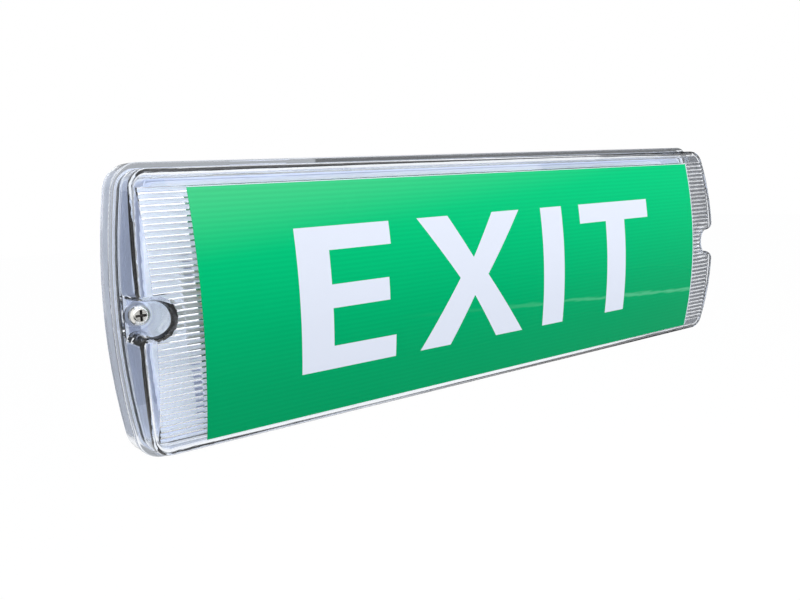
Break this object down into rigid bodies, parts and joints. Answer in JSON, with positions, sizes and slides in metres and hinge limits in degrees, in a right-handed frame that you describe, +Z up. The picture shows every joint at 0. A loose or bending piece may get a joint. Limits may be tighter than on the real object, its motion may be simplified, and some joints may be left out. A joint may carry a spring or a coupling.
{
  "type": "emergency exit light",
  "caption": "Wall-mounted weatherproof emergency exit light: shallow tapered back box, domed clear ribbed cover with a green legend film, gear tray, battery and a sprung test button below.",
  "frame": {"origin": "middle of the flat back face, where the fitting meets the wall", "axes": "+X along the length, to the right as seen from the front; -Y out of the wall towards the viewer; +Z up"},
  "size_m": [0.355, 0.0652, 0.1115],
  "materials": {
    "clear_polycarbonate": "clear moulded polycarbonate, glossy",
    "green_film": "green translucent film, satin",
    "white_housing": "white moulded plastic, fine texture",
    "silicone_seal": "off-white silicone",
    "plated_screw": "bright zinc plate",
    "insert_brass": "turned brass",
    "dark_rubber": "black rubber",
    "white_reflector": "glossy white",
    "board_white": "white solder mask",
    "led_phosphor": "yellow phosphor",
    "board_green": "green solder mask",
    "ferrite": "dark ferrite",
    "winding_tape": "yellow winding tape",
    "capacitor_sleeve": "dark sleeve",
    "fuse_glass": "glass tube",
    "chip_black": "moulded black",
    "header_white": "natural nylon",
    "cell_steel": "nickel-plated steel",
    "battery_wrap": "blue shrink sleeve",
    "strap_nylon": "natural nylon",
    "switch_black": "moulded black",
    "spring_steel": "spring steel wire",
    "button_red": "moulded red",
    "lens_green": "green clear lens"
  },
  "bodies": {
    "housing": {"clear_cover": "clear_polycarbonate", "legend_film": "green_film", "back_box": "white_housing", "cover_seal": "silicone_seal", "cover_screws": "plated_screw", "screw_washers": "silicone_seal", "screw_inserts": "insert_brass", "supply_grommet": "dark_rubber", "blanking_plug": "white_housing", "gear_tray": "white_reflector", "tray_screws": "plated_screw", "led_board": "board_white", "led_chips": "led_phosphor", "led_board_screws": "plated_screw", "driver_board": "board_green", "driver_screws": "plated_screw", "transformer_core": "ferrite", "transformer_bobbin": "winding_tape", "capacitors": "capacitor_sleeve", "fuse": "fuse_glass", "fuse_clips": "plated_screw", "driver_chips": "chip_black", "lead_headers": "header_white", "battery_cells": "cell_steel", "battery_sleeve": "battery_wrap", "battery_straps": "strap_nylon", "terminal_block": "header_white", "terminal_screws": "plated_screw", "switch_body": "switch_black", "switch_nut": "plated_screw", "switch_contacts": "insert_brass", "switch_spring": "spring_steel", "indicator_lens": "lens_green", "indicator_holder": "switch_black"},
    "test_switch_button": {"test_button": "button_red", "contact_bridge": "insert_brass"}
  },
  "joints": [
    {"name": "test_button_press", "type": "slide", "parent": "housing", "child": "test_switch_button", "axis": [0, 0, 1], "range_m": [0, 0.002], "stiffness_N_per_m": 1500, "springref_m": -0.001, "deforming": ["switch_spring"]}
  ]
}
